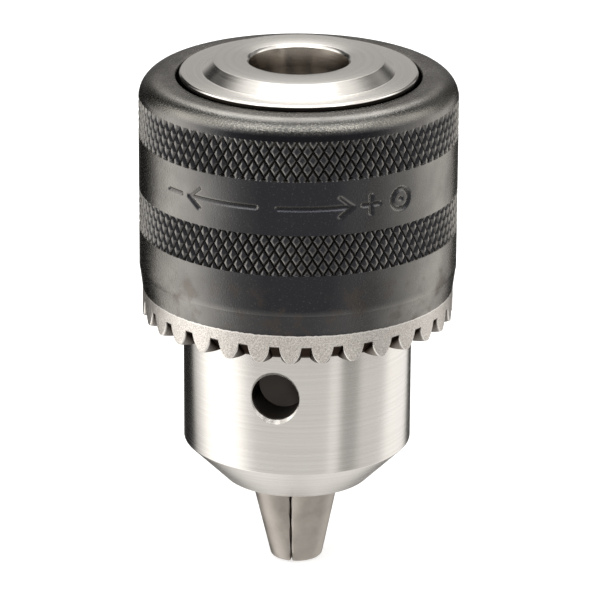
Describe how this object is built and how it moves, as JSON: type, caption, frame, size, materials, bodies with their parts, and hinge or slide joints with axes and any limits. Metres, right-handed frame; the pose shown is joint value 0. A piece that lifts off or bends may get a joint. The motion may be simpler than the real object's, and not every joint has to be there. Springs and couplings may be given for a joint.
{
  "type": "drill chuck",
  "caption": "Keyed drill chuck: knurled toothed sleeve turns a split nut that drives slanted jaws out of a turned body, threaded for a spindle.",
  "frame": {"origin": "on the chuck axis where the spindle thread starts, 5.2 mm in front of the rear face", "axes": "+Z along the chuck axis out of the spindle hole, -Z towards the jaw tips, -Y through the middle of one key hole"},
  "size_m": [0.0426, 0.0426, 0.0709],
  "materials": {
    "body_steel": "turned, fine circumferential lay",
    "sleeve_black": "black oxide, satin; bare blasted steel at the gear teeth",
    "nut_steel": "machined, oiled",
    "jaw_steel": "hardened and ground, slightly mottled"
  },
  "bodies": {
    "body": {"body": "body_steel"},
    "sleeve": {"sleeve": "sleeve_black", "nut_half_a": "nut_steel", "nut_half_b": "nut_steel"},
    "jaw_1": {"jaw_1": "jaw_steel"},
    "jaw_2": {"jaw_2": "jaw_steel"},
    "jaw_3": {"jaw_3": "jaw_steel"}
  },
  "joints": [
    {"name": "sleeve_spin", "type": "hinge", "parent": "body", "child": "sleeve", "pos_m": [0, 0, 0], "axis": [0, 0, 1], "range_deg": [-4266, 0]},
    {"name": "jaw_1_slide", "type": "slide", "parent": "body", "child": "jaw_1", "axis": [0.2095, -0.121, 0.9703], "range_m": [0, 0.0237]},
    {"name": "jaw_2_slide", "type": "slide", "parent": "body", "child": "jaw_2", "axis": [0, 0.2419, 0.9703], "range_m": [0, 0.0237]},
    {"name": "jaw_3_slide", "type": "slide", "parent": "body", "child": "jaw_3", "axis": [-0.2095, -0.121, 0.9703], "range_m": [0, 0.0237]}
  ],
  "couplings": [
    {"joint": "jaw_1_slide", "follows": "sleeve_spin", "m_per_rad": -0.00031831},
    {"joint": "jaw_2_slide", "follows": "sleeve_spin", "m_per_rad": -0.00031831},
    {"joint": "jaw_3_slide", "follows": "sleeve_spin", "m_per_rad": -0.00031831}
  ]
}
